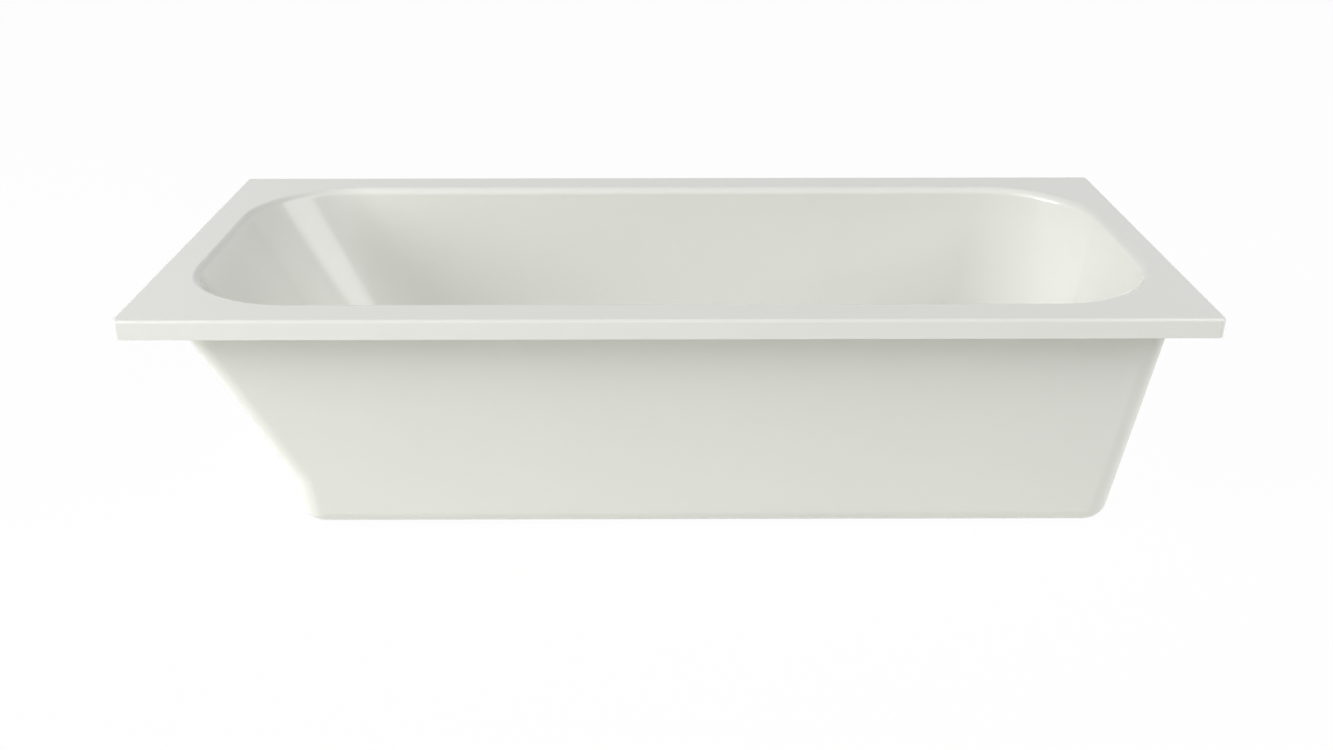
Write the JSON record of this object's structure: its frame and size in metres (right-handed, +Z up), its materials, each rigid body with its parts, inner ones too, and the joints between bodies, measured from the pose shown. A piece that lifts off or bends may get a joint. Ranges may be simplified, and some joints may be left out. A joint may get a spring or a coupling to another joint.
{
  "type": "alcove bathtub",
  "caption": "Rectangular built-in bathtub: acrylic basin with a sloping backrest in a tapered outer casing, levelling feet, push-to-open plug and waste pipe.",
  "frame": {"origin": "on the floor under the middle of the rim", "axes": "+X to the foot end, where the waste is; +Y away from the front, to the long wall; +Z up"},
  "size_m": [1.7, 0.75, 0.423],
  "materials": {
    "acrylic": "white gloss sanitary acrylic",
    "casing": "white gloss moulded skin",
    "timber": "planed softwood",
    "board": "pressed board with a sealed face",
    "zinc_steel": "zinc-plated folded steel",
    "fixings": "zinc-plated",
    "pad_plastic": "black moulded",
    "seal_rubber": "black, soft",
    "chrome": "polished chrome plate",
    "trap_plastic": "white moulded, satin",
    "pipe_plastic": "white extruded, satin",
    "latch_brass": "turned, bare"
  },
  "bodies": {
    "tub": {"bath_shell": "acrylic", "outer_casing": "casing", "rim_batten_front": "timber", "rim_batten_back": "timber", "rim_batten_head": "timber", "rim_batten_foot": "timber", "casing_screws": "fixings", "base_board": "board", "cross_bar_head": "zinc_steel", "cross_bar_foot": "zinc_steel", "bar_screws": "fixings", "casing_stays": "zinc_steel", "stay_screws": "fixings", "foot_nuts": "fixings", "foot_locknuts": "fixings", "waste_gasket": "seal_rubber", "trap_gasket": "seal_rubber", "waste_flange": "chrome", "trap_body": "trap_plastic", "trap_insert": "trap_plastic", "outlet_washer": "seal_rubber", "outlet_nut": "trap_plastic", "waste_pipe": "pipe_plastic", "plug_latch": "latch_brass"},
    "foot_head_front": {"foot_pad_head_front": "pad_plastic", "foot_stud_head_front": "fixings"},
    "foot_head_back": {"foot_pad_head_back": "pad_plastic", "foot_stud_head_back": "fixings"},
    "foot_foot_front": {"foot_pad_foot_front": "pad_plastic", "foot_stud_foot_front": "fixings"},
    "foot_foot_back": {"foot_pad_foot_back": "pad_plastic", "foot_stud_foot_back": "fixings"},
    "plug": {"plug_cap": "chrome", "plug_seal": "seal_rubber", "plug_stem": "latch_brass"}
  },
  "joints": [
    {"name": "foot_head_front_height", "type": "slide", "parent": "tub", "child": "foot_head_front", "axis": [0, 0, -1], "range_m": [-0.004, 0.008]},
    {"name": "foot_head_back_height", "type": "slide", "parent": "tub", "child": "foot_head_back", "axis": [0, 0, -1], "range_m": [-0.004, 0.008]},
    {"name": "foot_foot_front_height", "type": "slide", "parent": "tub", "child": "foot_foot_front", "axis": [0, 0, -1], "range_m": [-0.004, 0.008]},
    {"name": "foot_foot_back_height", "type": "slide", "parent": "tub", "child": "foot_foot_back", "axis": [0, 0, -1], "range_m": [-0.004, 0.008]},
    {"name": "plug_lift", "type": "slide", "parent": "tub", "child": "plug", "axis": [0, 0, 1], "range_m": [0, 0.01]}
  ]
}
